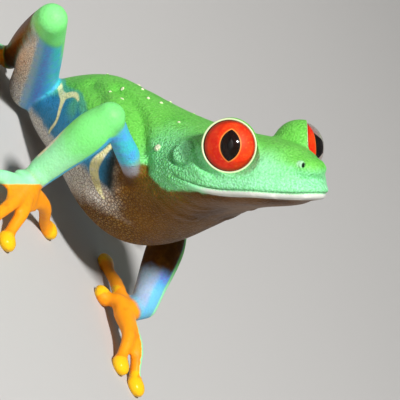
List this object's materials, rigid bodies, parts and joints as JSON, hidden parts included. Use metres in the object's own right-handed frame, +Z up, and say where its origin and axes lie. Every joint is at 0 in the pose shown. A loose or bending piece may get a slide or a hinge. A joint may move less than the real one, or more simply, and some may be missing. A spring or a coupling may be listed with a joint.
{
  "type": "red-eyed tree frog",
  "caption": "Life-size still model of a red-eyed tree frog standing alert on its hands and feet, head raised and rolled to one side.",
  "frame": {"origin": "middle of the floor under the frog: the centre of the bounding box's base", "axes": "+Z up from the floor, -Y the way the frog faces, +X the frog's own left"},
  "size_m": [0.0594, 0.0524, 0.0342],
  "materials": {
    "green_skin": "moist leaf-green skin with a soft sheen",
    "blue_skin": "moist blue skin of the upper arm and thigh",
    "orange_skin": "smooth orange skin of hands, feet and pads",
    "eye": "wet red eye with a clear cornea"
  },
  "bodies": {
    "root": {"eye_left": "eye", "eye_right": "eye", "finger_1_left": "orange_skin", "finger_1_right": "orange_skin", "finger_2_left": "orange_skin", "finger_2_right": "orange_skin", "finger_3_left": "orange_skin", "finger_3_right": "orange_skin", "finger_4_left": "orange_skin", "finger_4_right": "orange_skin", "foot_left": "orange_skin", "foot_right": "orange_skin", "forearm_left": "green_skin", "forearm_right": "green_skin", "hand_left": "orange_skin", "hand_right": "orange_skin", "head": "green_skin", "shank_left": "green_skin", "shank_right": "green_skin", "tarsus_left": "green_skin", "tarsus_right": "green_skin", "thigh_left": "blue_skin", "thigh_right": "blue_skin", "toe_1_left": "orange_skin", "toe_1_right": "orange_skin", "toe_2_left": "orange_skin", "toe_2_right": "orange_skin", "toe_3_left": "orange_skin", "toe_3_right": "orange_skin", "toe_4_left": "orange_skin", "toe_4_right": "orange_skin", "toe_5_left": "orange_skin", "toe_5_right": "orange_skin", "trunk": "green_skin", "upper_arm_left": "blue_skin", "upper_arm_right": "blue_skin"}
  },
  "joints": []
}
